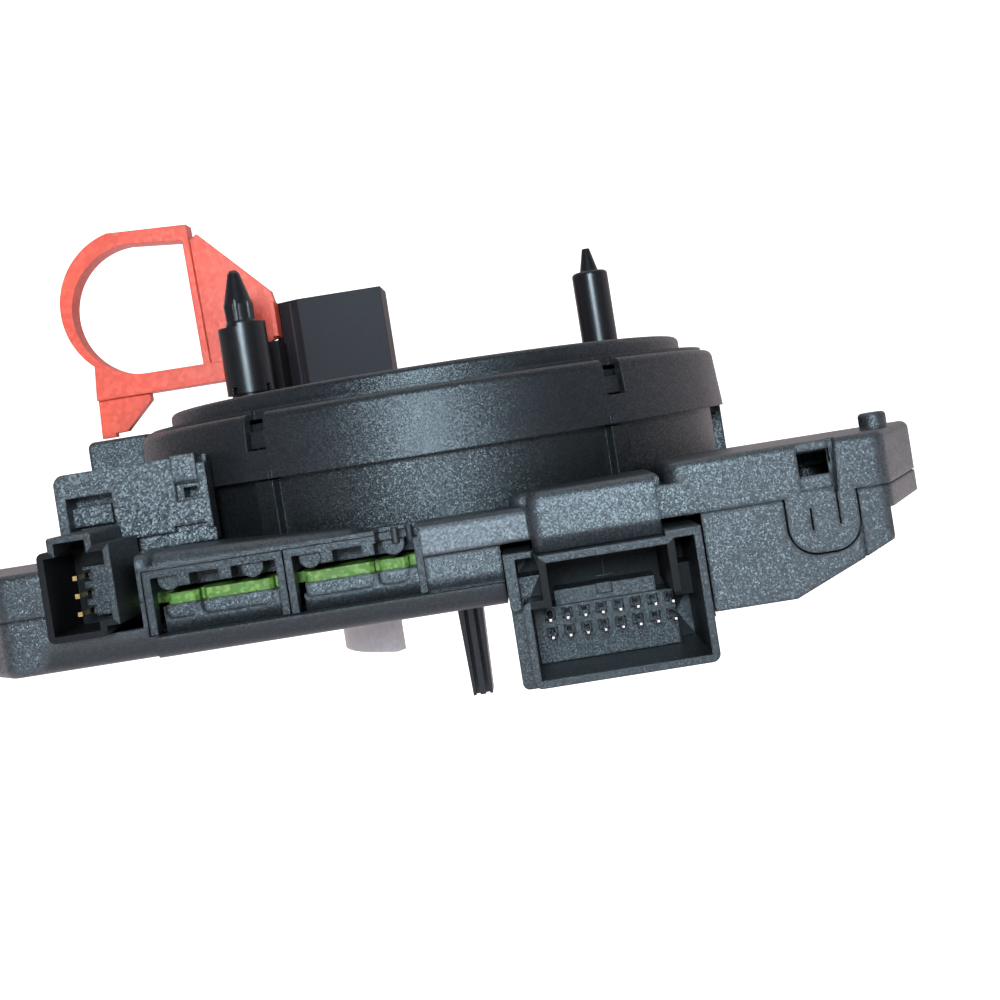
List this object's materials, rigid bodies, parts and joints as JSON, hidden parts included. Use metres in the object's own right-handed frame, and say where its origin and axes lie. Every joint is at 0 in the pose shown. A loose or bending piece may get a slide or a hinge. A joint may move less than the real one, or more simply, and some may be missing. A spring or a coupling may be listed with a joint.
{
  "type": "steering clock spring",
  "caption": "Steering column module: ribbon cassette with turning disc on a flat electronics housing with plug sockets, and a red transport lock.",
  "frame": {"origin": "on the steering axis, level with the housing's back face", "axes": "+Z along the steering axis towards the steering wheel, -Y towards the connectors, +X to the right seen from the connectors"},
  "size_m": [0.154, 0.1158, 0.0902],
  "materials": {
    "grained_black": "fine spark-eroded grain",
    "satin_black": "fine grain, satin",
    "connector_black": "plain moulded",
    "gloss_black": "polished",
    "red_plastic": "plain moulded",
    "white_plastic": "plain moulded",
    "board_green": "solder mask over glass laminate",
    "chip_black": "moulded epoxy",
    "tinned_pins": "tinned",
    "brass_pins": "plated",
    "screw_steel": "zinc plated",
    "ribbon_film": "polyester film over flat copper",
    "magnet_steel": "nickel plated"
  },
  "bodies": {
    "housing": {"base_housing": "grained_black", "top_cover": "grained_black", "drum_cover": "grained_black", "drum_shell": "satin_black", "terminal_box": "grained_black", "lock_rest": "grained_black", "header_shroud": "connector_black", "header_pin_block": "connector_black", "header_pins": "tinned_pins", "small_socket": "connector_black", "small_socket_block": "connector_black", "small_socket_pins": "brass_pins", "switch_socket_left": "connector_black", "switch_socket_right": "connector_black", "circuit_board": "board_green", "controller_chip": "chip_black", "angle_sensor_chips": "chip_black", "housing_screws": "screw_steel", "spiral_ribbon": "ribbon_film"},
    "rotor": {"rotor_disc": "grained_black", "rotor_hub": "white_plastic", "tower_terminals": "brass_pins", "drive_pin": "gloss_black", "centring_pin": "gloss_black", "pin_sleeve": "gloss_black"},
    "lock": {"lock_tab": "red_plastic"},
    "gear_a": {"measuring_gear_a": "white_plastic", "magnet_a": "magnet_steel"},
    "gear_b": {"measuring_gear_b": "white_plastic", "magnet_b": "magnet_steel"}
  },
  "joints": [
    {"name": "rotor_turn", "type": "hinge", "parent": "housing", "child": "rotor", "pos_m": [0, 0, 0.015], "axis": [0, 0, 1], "range_deg": [-900, 900]},
    {"name": "lock_pull", "type": "slide", "parent": "rotor", "child": "lock", "axis": [0, 0, 1], "range_m": [0, 0.03]},
    {"name": "measuring_gear_a_spin", "type": "hinge", "parent": "housing", "child": "gear_a", "pos_m": [0.01454, 0.0309, 0.0121], "axis": [0, 0, 1], "range_deg": [-2500, 2500]},
    {"name": "measuring_gear_b_spin", "type": "hinge", "parent": "housing", "child": "gear_b", "pos_m": [-0.01412, 0.03, 0.0121], "axis": [0, 0, 1], "range_deg": [-2812.5, 2812.5]}
  ],
  "couplings": [
    {"joint": "measuring_gear_a_spin", "follows": "rotor_turn", "ratio": -2.7778},
    {"joint": "measuring_gear_b_spin", "follows": "rotor_turn", "ratio": -3.125}
  ]
}
